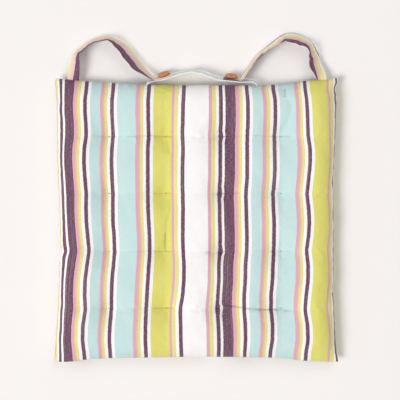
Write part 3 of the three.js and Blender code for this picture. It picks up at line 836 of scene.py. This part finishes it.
depth, top_shade_line = crease_field(top_fine, top_creases())
normals = grid_normals(top_fine)
edge_fade = smooth((PATTERN - np.maximum(np.abs(fine_u), np.abs(fine_v))) / (6 * MM))
rumple = wave_noise(top_fine[..., 0], top_fine[..., 1], 0.02, 31) * 0.28 * MM
rumple += wave_noise(top_fine[..., 0], top_fine[..., 1] * 1.6, 0.045, 32) * 0.4 * MM
lift = seam_puckers(top_fine, fine_u, fine_v) + (rumple - depth) * edge_fade
top_fine = top_fine + normals * lift[..., None]
depth_b, bottom_shade_line = crease_field(bottom_fine, bottom_creases())
normals_b = -grid_normals(bottom_fine)
rumple_b = wave_noise(bottom_fine[..., 0], bottom_fine[..., 1], 0.022, 41) * 0.3 * MM
bottom_fine = bottom_fine + normals_b * (
    seam_puckers(bottom_fine, fine_u, fine_v) * 0.8 + (rumple_b - depth_b) * edge_fade
)[..., None]
# the underside rests on the seat
z = bottom_fine[..., 2]
soft = 1.2 * MM
above = z - FLOOR_LIFT - soft
bottom_fine[..., 2] = np.where(z < FLOOR_LIFT + soft, FLOOR_LIFT + soft * np.exp(above / soft), z)
border = np.zeros(fine_u.shape, bool)
border[0, :] = border[-1, :] = border[:, 0] = border[:, -1] = True
seam_line = (top_fine[border] + bottom_fine[border]) / 2
gap = seam_opening(seam_line[:, 0], seam_line[:, 1])
top_fine[border], bottom_fine[border] = seam_line, seam_line
top_fine[border, 2] += gap
bottom_fine[border, 2] -= gap

CLOTH = 0.8 * MM
cotton = striped_cotton("striped_cotton", crease=True)
cover_top = solid_sheet(
    "striped_cover_top", top_fine, CLOTH, stripe_u(fine_u, top_fine), fine_v, np.clip(top_shade_line, 0, 1), False
)
cover_bottom = solid_sheet(
    "striped_cover_bottom", bottom_fine, CLOTH,
    stripe_u(fine_u) - BOTTOM_SHIFT, fine_v, np.clip(bottom_shade_line, 0, 1), True,
)
for cover, node in ((cover_top, "cover_top"), (cover_bottom, "cover_bottom")):
    cover.data.materials.append(cotton)
    hand_over(cover, "cushion", node)

# ---------------------------------------------------------------- wadding and seam thread, inside the covers
step = 3
keep = slice(FINE * 2, -FINE * 2)


def inner_side(fine, normals, lift):
    return (fine - normals * lift)[keep, keep][::step, ::step]


fill_top = inner_side(top_fine, grid_normals(top_fine), 2.6 * MM)
fill_bottom = inner_side(bottom_fine, -grid_normals(bottom_fine), 2.6 * MM)
middle = (fill_top + fill_bottom) / 2
spread = np.maximum(fill_top[..., 2] - fill_bottom[..., 2], 1.2 * MM)
fill_top[..., 2] = np.maximum(fill_top[..., 2], middle[..., 2] + spread / 2)
fill_bottom[..., 2] = np.minimum(fill_bottom[..., 2], middle[..., 2] - spread / 2)
m = fill_top.shape[0]
ix = np.arange(m * m).reshape(m, m)
quad, ring = grid_quads(ix), grid_ring(ix)
nxt = np.roll(ring, -1)
side_quads = np.stack([ring + m * m, nxt + m * m, nxt, ring], -1)
wadding = make_mesh(
    "wadding_fill",
    np.concatenate([fill_top.reshape(-1, 3), fill_bottom.reshape(-1, 3)]).tolist(),
    np.concatenate([quad, quad[:, ::-1] + m * m, side_quads]).tolist(),
)
wadding.data.materials.append(fibre_fill("polyester_fibre"))
hand_over(wadding, "cushion", "wadding")

thread_material = plain_thread("cotton_thread", (196, 192, 176))
inward = slice(FINE, -FINE)
line_top, line_bottom = top_fine[inward, inward], bottom_fine[inward, inward]
mid_line = (line_top + line_bottom) / 2
seam_path = grid_ring(mid_line)
seam_thread = make_mesh("seam_thread", *tube_arrays(seam_path.tolist(), 0.35 * MM, 6, closed=True))
seam_thread.data.materials.append(thread_material)
hand_over(seam_thread, "cushion", "perimeter_seam_thread")

# ---------------------------------------------------------------- tuft stitches


def surface_height(fine, x, y):
    d = (fine[..., 0] - x) ** 2 + (fine[..., 1] - y) ** 2
    i = np.unravel_index(np.argmin(d), d.shape)
    return float(fine[i][2])


def tuft_stitch(r, c):
    tx, ty, low_z, high_z = TUFTS[r, c]
    parts = []
    strand = 0.2 * MM
    for side, fine in ((1, top_fine), (-1, bottom_fine)):
        for k in (-1, 0, 1):
            pts = []
            reach = (1.4 - 0.2 * abs(k)) * MM
            for t in np.linspace(-1, 1, 13):
                x = tx + reach * t
                y = ty + k * 0.4 * MM + 0.1 * MM * math.sin(4 * t + k + r)
                bow = 0.12 * MM * (1 - t * t) - 0.7 * MM * abs(t) ** 6
                z = surface_height(fine, x, y) + side * (strand * 0.8 + bow)
                pts.append((x, y, z))
            parts.append(tube_arrays(pts, strand, 8))
    stem = [(tx, ty, low_z + (high_z - low_z) * t) for t in np.linspace(0.02, 0.98, 6)]
    parts.append(tube_arrays(stem, 0.5 * MM, 8))
    obj = make_mesh(f"tuft_stitch_{r}_{c}", *join_arrays(parts))
    obj.data.materials.append(thread_material)
    hand_over(obj, "cushion", f"tuft_tie_{r}_{c}")


for r, c in TUFTS:
    tuft_stitch(r, c)

# ---------------------------------------------------------------- straps and button band
# Stations of the folded straps in millimetres: x, y, z, lean of the outer face above level, width, and the
# stripe place of the upper edge.
ROOT_Y = HINGE_Y / MM + 0.8
LEG_TILT = 18
STRAP_THICKNESS = 1.6
STACK = STRAP_THICKNESS + 0.35
BAND_Z = 14
LEGS = {
    "left": {"x": -64, "heading": 16, "towards": 1, "inward": 1, "button": 20.5},
    "right": {"x": 79, "heading": 5.5, "towards": -1, "inward": -1, "button": 30},
}


def ribbon_frame(along, inward_sign, tilt):
    along = Vector((along[0], along[1], 0)).normalized()
    inward = Vector((along.y, -along.x, 0)) * inward_sign
    t = math.radians(tilt)
    up = Vector((0, 0, 1))
    return inward * math.sin(t) + up * math.cos(t), up * math.sin(t) - inward * math.cos(t)


def on_leg(leg, distance):
    h = math.radians(leg["heading"])
    return Vector(
        (leg["x"] + leg["towards"] * distance * math.cos(h), ROOT_Y + distance * math.sin(h), BAND_Z)
    )


def leg_frame(leg):
    h = math.radians(leg["heading"])
    return ribbon_frame((leg["towards"] * math.cos(h), math.sin(h)), leg["inward"], LEG_TILT)


def leg_stations(leg, reach):
    out = []
    for d, width in ((0, 8), (5, 11), (10, 16), (16, 22)):
        p = on_leg(leg, d)
        out.append((p.x, p.y, p.z + 1 - min(1, max(0, d) / 10), LEG_TILT, width))
    for d in range(24, reach + 1, 8):
        out.append((*on_leg(leg, d), LEG_TILT, STRAP_WIDTH))
    return out


def tail_stations(leg, start, end):
    _, outward = leg_frame(leg)
    return [(*(on_leg(leg, d) + outward * STACK), LEG_TILT, STRAP_WIDTH) for d in range(start, end + 1, 6)]


SEAM = SEAM_Z / MM


def stations(rows, tail, pattern):
    """Stations with the stripe place of the upper edge, in mm, filled in along the tail."""
    a, b = rows[-1][5], pattern
    return rows + [(*t, a + (b - a) * (k + 1) / len(tail)) for k, t in enumerate(tail)]


BAND = (
    [(-70.5, 189.6, SEAM, 30, 7), (-67.6, 193.0, 14.9, 24, 7.5)]
    + leg_stations(LEGS["left"], 32)
    + [(-20, 207.4, BAND_Z, 15, 22), (-6, 209.6, BAND_Z, 13, 22)]
    + [(8, 207.6, BAND_Z, 14, 22), (19, 203.2, BAND_Z, 16, 22)]
    + leg_stations(LEGS["right"], 50)[::-1]
    + [(83, 192.8, 14.9, 24, 7.5), (86.5, 189.4, SEAM, 30, 7)]
)
BAND = [(*b, 20) for b in BAND]
LEFT = stations(
    [
        (-172.5, 188.5, SEAM, 90, 14, 5.6),
        (-172.5, ROOT_Y, SEAM, 90, 15, 5.6),
        (-173, 201, SEAM, 80, 17, 5.8),
        (-172.8, 209, 14.5, 58, 20, 6.2),
        (-172.2, 219, 14, 47, 22, 6.6),
        (-171.3, 227, 13.8, 38, 22, 7.4),
        (-169, 234.6, 13.3, 27, 21, 10),
        (-161.8, 241.8, 13, 25, 19, 12.8),
        (-150, 250.2, 13, 24, 18, 13.4),
        (-136, 255.2, 13, 23, 18, 13.4),
        (-126, 256.2, 13, 23, 18, 12.6),
        (-116.6, 252.8, 13, 27, 20, 8.6),
        (-105, 243.6, 13.3, 38, 22, 5),
        (-95.5, 232.5, 13.8, 46, 22, 4.2),
        (-86, 220.5, 14, 44, 22, 4.6),
        (-76, 211.2, 14, 32, 22, 7.5),
        (-67.5, 204.6, BAND_Z, 22, 22, 11),
        (-61.8, 200.6, BAND_Z, LEG_TILT, 22, 13.6),
    ],
    tail_stations(LEGS["left"], 8, 36),
    21,
)
RIGHT = stations(
    [
        (177, 188.5, SEAM, 90, 13, 14.2),
        (177, ROOT_Y, SEAM, 90, 13, 14),
        (176.2, 200.5, SEAM, 80, 14, 13),
        (172.4, 209, 14.5, 58, 18, 10.6),
        (168, 218, 14, 56, 22, 6.6),
        (166.8, 228, 13.8, 44, 22, 8.4),
        (164.4, 238, 13.5, 32, 22, 12.6),
        (159.5, 246.4, 13.2, 30, 22, 9.4),
        (148, 252.2, 13, 38, 22, 7.6),
        (134, 256.4, 13, 37, 22, 7.6),
        (123, 256.4, 13, 30, 22, 10.5),
        (109.5, 249.6, 13, 23, 22, 18),
        (97, 240.4, 13, 20, 22, 18),
        (88.8, 233.2, 13.2, 17, 22, 12.2),
        (83.4, 227.4, 13.4, 13, 22, 14),
        (74.6, 215.8, 13.6, 14, 22, 16.4),
        (67.4, 205.2, BAND_Z, 17, 22, 16.4),
    ],
    tail_stations(LEGS["right"], 17, 45),
    7,
)


def centripetal(points, per_span):
    """Points of a centripetal Catmull-Rom curve, with the fractional station index of each."""
    P = [np.array(p, float) for p in points]
    P = [2 * P[0] - P[1]] + P + [2 * P[-1] - P[-2]]
    out = []
    for i in range(1, len(P) - 2):
        t = [0.0]
        for a, b in zip(P[i - 1 : i + 2], P[i : i + 3]):
            t.append(t[-1] + max(1e-6, np.linalg.norm(b - a)) ** 0.5)
        for k in range(per_span):
            s = t[1] + (t[2] - t[1]) * k / per_span
            a1 = (t[1] - s) / (t[1] - t[0]) * P[i - 1] + (s - t[0]) / (t[1] - t[0]) * P[i]
            a2 = (t[2] - s) / (t[2] - t[1]) * P[i] + (s - t[1]) / (t[2] - t[1]) * P[i + 1]
            a3 = (t[3] - s) / (t[3] - t[2]) * P[i + 1] + (s - t[2]) / (t[3] - t[2]) * P[i + 2]
            b1 = (t[2] - s) / (t[2] - t[0]) * a1 + (s - t[0]) / (t[2] - t[0]) * a2
            b2 = (t[3] - s) / (t[3] - t[1]) * a2 + (s - t[1]) / (t[3] - t[1]) * a3
            place = (t[2] - s) / (t[2] - t[1]) * b1 + (s - t[1]) / (t[2] - t[1]) * b2
            out.append((place, i - 1 + k / per_span))
    out.append((P[-2], len(P) - 3.0))
    return out


def ribbon(name, stations, inward_sign, run_of_stripes, seed, calm=()):
    """A folded strap with rounded edges and slight buckles, its stripes counted up or down round it."""
    path = centripetal([s[:3] for s in stations], 12)
    places = np.array([p for p, _ in path])
    index = np.array([i for _, i in path])
    tilt = np.interp(index, range(len(stations)), [s[3] for s in stations])
    width = np.interp(index, range(len(stations)), [s[4] for s in stations])
    pattern = np.interp(index, range(len(stations)), [s[5] for s in stations])
    run = np.r_[0, np.cumsum(np.linalg.norm(np.diff(places, axis=0), axis=1))]
    tangent = np.gradient(places, axis=0)
    rng = np.random.default_rng(seed)
    ripples = [(rng.uniform(0, 6.3), rng.uniform(9, 26), rng.uniform(0.4, 1)) for _ in range(5)]
    n_face, n_edge = 12, 4
    section = []
    half_t = STRAP_THICKNESS / 2
    for k in range(n_face + 1):  # outer face, upper edge to lower edge
        section.append((1 - 2 * k / n_face, half_t, "face"))
    for k in range(1, n_edge):
        a = math.pi / 2 - math.pi * k / n_edge
        section.append((-1, half_t * math.sin(a), "edge"))
    for k in range(n_face + 1):
        section.append((-1 + 2 * k / n_face, -half_t, "face"))
    for k in range(1, n_edge):
        a = -math.pi / 2 + math.pi * k / n_edge
        section.append((1, half_t * math.sin(a), "edge"))
    verts, uv = [], []
    count = len(section)
    inner_side_start = n_face + n_edge
    for j, place in enumerate(places):
        across, outward = ribbon_frame(tangent[j], inward_sign, tilt[j])
        w = width[j] / 2
        quiet = 1.0
        for low, high in calm:
            inside = float(smooth((index[j] - low) / 0.8)) * float(smooth((high - index[j]) / 0.8))
            quiet = min(quiet, 1 - inside)
        quiet *= float(smooth((run[j] - 14) / 18))
        wobble = sum(a * math.sin(run[j] * 6.283 / L + f) for f, L, a in ripples) * 0.28 * quiet
        outline = []
        for e, h, kind in section:
            inset = (abs(e) ** 8) * 0.35
            a = e * (w - half_t)
            if kind == "edge":
                a = e * (w - half_t + math.sqrt(max(0, half_t**2 - h**2)))
            cup = 0.35 * (e * e) * quiet
            skew = wobble * (0.5 + 0.5 * e) + 0.25 * quiet * math.sin(run[j] / 5.3 + 2.2 * e + seed)
            thin = h * (1 - inset * 0.15)
            verts.append((Vector(place) + across * a + outward * (thin + skew - cup)) * MM)
            outline.append((a, h))
        steps = np.diff(np.array(outline + outline[:1]), axis=0)
        girth = np.r_[0, np.cumsum(np.hypot(steps[:, 0], steps[:, 1]))]
        # the stripes carry on round the upper edge; the strap's own seam is along its lower edge
        girth[inner_side_start:] -= girth[-1]
        uv += [((pattern[j] + run_of_stripes * g) * MM, run[j] * MM) for g in girth[:count]]
    faces = []
    for j in range(len(places) - 1):
        for k in range(count):
            a, b = j * count + k, j * count + (k + 1) % count
            faces.append((a, b, b + count, a + count))
    faces.append(tuple(range(count)))
    end = (len(places) - 1) * count
    faces.append(tuple(end + k for k in range(count))[::-1])
    obj = make_mesh(name, verts, faces, uv)
    fix = bmesh.new()
    fix.from_mesh(obj.data)
    bmesh.ops.recalc_face_normals(fix, faces=fix.faces)
    fix.to_mesh(obj.data)
    fix.free()
    return obj, run[-1]


# painted light: both straps use paler copies of the pad's cotton, the left more than the right
left_cloth = striped_cotton("left_strap_cotton", LEFT_STRIPES, painted_light=0.35)
right_cloth = striped_cotton("right_strap_cotton", RIGHT_STRIPES, painted_light=0.15)
band_cloth = striped_cotton("pale_cotton", PALE_STRIPES)
last_left, last_right = len(LEFT) - 1, len(RIGHT) - 1
strap_left, long_left = ribbon("tie_strap_left", LEFT, 1, 1, 5, [(15.5, last_left + 1)])
strap_right, long_right = ribbon("tie_strap_right", RIGHT, -1, 1, 6, [(15, last_right + 1)])
band, long_band = ribbon("button_band_cloth", BAND, 1, -1, 7, [(-1, 8.6), (11.5, len(BAND))])
print("strap lengths mm", long_left, long_right, long_band)


def button_matrix(leg):
    """Local X along the strap, Y across it, Z out of its outer face, at the middle of the strap's tail."""
    across, outward = leg_frame(leg)
    origin = (on_leg(leg, leg["button"]) + outward * STACK) * MM
    along = across.cross(outward)
    m = Matrix.Identity(4)
    for i, axis in enumerate((along, across, outward)):
        for j in range(3):
            m[j][i] = axis[j]
    m.translation = origin
    return m


def carve(obj, cutter_mesh, place):
    """Cuts a bmesh out of an object with an exact boolean, applied."""
    cutter = bpy.data.meshes.new("cutter")
    cutter_mesh.to_mesh(cutter)
    cutter_mesh.free()
    tool = bpy.data.objects.new("cutter", cutter)
    scene.collection.objects.link(tool)
    tool.matrix_world = place
    mod = obj.modifiers.new("cut", "BOOLEAN")
    mod.operation = "DIFFERENCE"
    mod.solver = "EXACT"
    mod.object = tool
    bpy.context.view_layer.update()
    dg = bpy.context.evaluated_depsgraph_get()
    result = bpy.data.meshes.new_from_object(obj.evaluated_get(dg))
    obj.modifiers.clear()
    obj.data = result
    bpy.data.objects.remove(tool)


def cut_slot(obj, leg, length, width):
    """Opens a buttonhole through a strap."""
    block = bmesh.new()
    bmesh.ops.create_cube(block, size=1.0)
    carve(obj, block, button_matrix(leg) @ Matrix.Diagonal((length * MM, width * MM, 3.2 * MM, 1)))


cut_slot(strap_left, LEGS["left"], 19, 2.4)
cut_slot(strap_right, LEGS["right"], 19, 2.4)

for obj, node, body, length, cloth in (
    (strap_left, "strap_left", "left_strap", long_left, left_cloth),
    (strap_right, "strap_right", "right_strap", long_right, right_cloth),
    (band, "button_band", "band", long_band, band_cloth),
):
    obj.data.materials.clear()
    obj.data.materials.append(cloth)
    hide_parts(node)
    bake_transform(obj)

# ---------------------------------------------------------------- buttons, thread, buttonhole stitching
FACE = STRAP_THICKNESS / 2
LIFT = FACE + 1.1
THICK, RIM_R, DISH_R, DISH_Z = 3.2, 9.0, 6.3, 2.38
wood = button_wood("turned_wood")
button_thread = plain_thread("button_thread", (226, 214, 190))
binding_thread = plain_thread("buttonhole_thread", (240, 236, 226))


def turned_button(name, side):
    """Turned wooden button with rounded rim, dished face and two straight thread holes."""
    profile = [(0.0, 0.0), (4.0, 0.0), (7.2, 0.05), (8.3, 0.35), (8.85, 0.9), (RIM_R, 1.6), (8.85, 2.35)]
    profile += [(8.4, 2.9), (7.8, THICK), (7.1, THICK), (6.6, 2.95)]
    profile += [(DISH_R, 2.6), (5.6, 2.42), (3.0, DISH_Z), (0.0, DISH_Z)]
    sides = 72
    verts = [(0, 0, profile[0][1])]
    for r, h in profile[1:-1]:
        for k in range(sides):
            a = 2 * math.pi * k / sides
            verts.append((r * math.cos(a), r * math.sin(a), h))
    verts.append((0, 0, profile[-1][1]))
    rings = len(profile) - 2
    faces = [(0, 1 + (k + 1) % sides, 1 + k) for k in range(sides)]
    for i in range(rings - 1):
        for k in range(sides):
            a, b = 1 + i * sides + k, 1 + i * sides + (k + 1) % sides
            faces.append((a, b, b + sides, a + sides))
    last = 1 + (rings - 1) * sides
    faces += [(last + k, last + (k + 1) % sides, len(verts) - 1) for k in range(sides)]
    obj = make_mesh(name, [tuple(c * MM for c in v) for v in verts], faces)
    hole = bmesh.new()
    for s in (-1, 1):
        made = bmesh.ops.create_cone(
            hole, cap_ends=True, segments=24, radius1=1.15 * MM, radius2=1.15 * MM, depth=8 * MM
        )
        bmesh.ops.translate(hole, verts=made["verts"], vec=(s * 2.2 * MM, 0, 1.5 * MM))
    carve(obj, hole, Matrix.Identity(4))
    obj.data.materials.clear()
    obj.data.materials.append(wood)
    obj.data.polygons.foreach_set("use_smooth", np.ones(len(obj.data.polygons), bool))
    obj.matrix_world = button_matrix(LEGS[side]) @ Matrix.Translation((0, 0, LIFT * MM))
    return obj


def local_tubes(name, strands, radius, side, material, sides=8):
    parts = []
    for points, closed in strands:
        parts.append(tube_arrays([tuple(c * MM for c in p) for p in points], radius * MM, sides, closed))
    obj = make_mesh(name, *join_arrays(parts))
    obj.data.materials.append(material)
    obj.matrix_world = button_matrix(LEGS[side])
    return obj


def button_strands():
    """Four turns of thread: over the dish, down both holes, and a wound shank to the back of the band."""
    out = []
    top = LIFT + DISH_Z + 0.35
    under = LIFT - 0.35
    for k in (-0.45, 0.0, 0.45):
        loop = []
        for t in np.linspace(0, 1, 9):
            loop.append((-2.2 + 4.4 * t, k, top + 0.25 * math.sin(math.pi * t)))
        for z in np.linspace(top - 0.2, under, 5):
            loop.append((2.2, k * 0.8, z))
        for t in np.linspace(0, 1, 7)[1:-1]:
            loop.append((2.2 - 4.4 * t, k * 0.8, under - 0.15 * math.sin(math.pi * t)))
        for z in np.linspace(under, top - 0.2, 5):
            loop.append((-2.2, k * 0.8, z))
        out.append((loop, True))
    wound = []
    low = -STACK - FACE - 0.5
    for t in np.linspace(0, 1, 60):
        a = t * 2 * math.pi * 7
        wound.append((0.55 * math.cos(a), 0.55 * math.sin(a), low + (under - low) * t))
    out.append((wound, False))
    for k in range(3):
        knot = []
        for t in np.linspace(0, 1, 12, endpoint=False):
            a = 2 * math.pi * t
            knot.append((1.5 * math.cos(a), 0.8 * math.sin(a + k), low - 0.1 + 0.25 * math.cos(a + 2 * k)))
        out.append((knot, True))
    return out


def binding_strands():
    """Close overcast stitches round the slot."""
    out = []
    half_long, half_wide = 9.5, 1.2
    z = FACE + 0.15
    turns = []
    for t in np.linspace(-half_long, half_long, 46):
        for s in (-1, 1):
            turns.append(((t, s * (half_wide - 0.1)), (t + 0.12 * s, s * (half_wide + 1.15))))
    for s in (-1, 1):
        for a in np.linspace(-60, 60, 6):
            c, d = math.cos(math.radians(a)), math.sin(math.radians(a))
            turns.append(((s * half_long, 1.0 * d), (s * (half_long + 1.2 * c), (half_wide + 1.0) * d)))
    for (ax, ay), (bx, by) in turns:
        pts = []
        for t in np.linspace(0, 1, 5):
            pts.append((ax + (bx - ax) * t, ay + (by - ay) * t, z - 0.35 * abs(2 * t - 1) ** 2 + 0.1))
        out.append((pts, False))
    return out


for side in ("left", "right"):
    button = turned_button(f"wooden_button_{side}", side)
    hand_over(button, "band", f"button_{side}")
    sewing = local_tubes(f"button_sewing_{side}", button_strands(), 0.26, side, button_thread)
    hand_over(sewing, "band", f"button_thread_{side}")
    binding = local_tubes(f"buttonhole_binding_{side}", binding_strands(), 0.2, side, binding_thread, 6)
    hand_over(binding, f"{side}_strap", f"buttonhole_stitching_{side}")

# ---------------------------------------------------------------- floor, light and camera
floor_mesh = bpy.data.meshes.new("floor")
size = 6.0
corners = [(-size, -size, 0), (size, -size, 0), (size, size, 0), (-size, size, 0)]
floor_mesh.from_pydata(corners, [], [(0, 1, 2, 3)])
floor = bpy.data.objects.new("floor", floor_mesh)
scene.collection.objects.link(floor)
floor.location.z = -0.0004
k = Nodes("pale_floor")
k.shader.inputs["Base Color"].default_value = linear((245, 242, 240))
k.shader.inputs["Roughness"].default_value = 0.9
k.shader.inputs["Specular IOR Level"].default_value = 0.1
floor_mesh.materials.append(k.mat)

world = bpy.data.worlds.new("studio")
world.use_nodes = True
world.node_tree.nodes["Background"].inputs[0].default_value = (1.0, 0.992, 0.992, 1)
world.node_tree.nodes["Background"].inputs[1].default_value = 0.455
scene.world = world


def area_light(name, place, target, width, watts, tint):
    lamp = bpy.data.lights.new(name, "AREA")
    lamp.shape = "SQUARE"
    lamp.size = width
    lamp.energy = watts
    lamp.color = tint
    obj = bpy.data.objects.new(name, lamp)
    scene.collection.objects.link(obj)
    obj.location = place
    obj.rotation_euler = (Vector(target) - Vector(place)).to_track_quat("-Z", "Y").to_euler()


area_light("key", (-4.75, -2.5, 7.05), (0, 0.02, 0), 3.6, 466, (1.0, 0.985, 0.984))
area_light("fill", (1.5, 2.6, 3.9), (0, 0.1, 0), 3.0, 38, (1.0, 0.99, 0.995))

camera_data = bpy.data.cameras.new("camera")
camera_data.lens = 159
camera_data.sensor_width = 36
camera = bpy.data.objects.new("camera", camera_data)
scene.collection.objects.link(camera)
camera.location = (0.0052, 0.028, 2.5)
camera.rotation_euler = (0, 0, 0)
camera_data.clip_start, camera_data.clip_end = 0.1, 20
scene.camera = camera
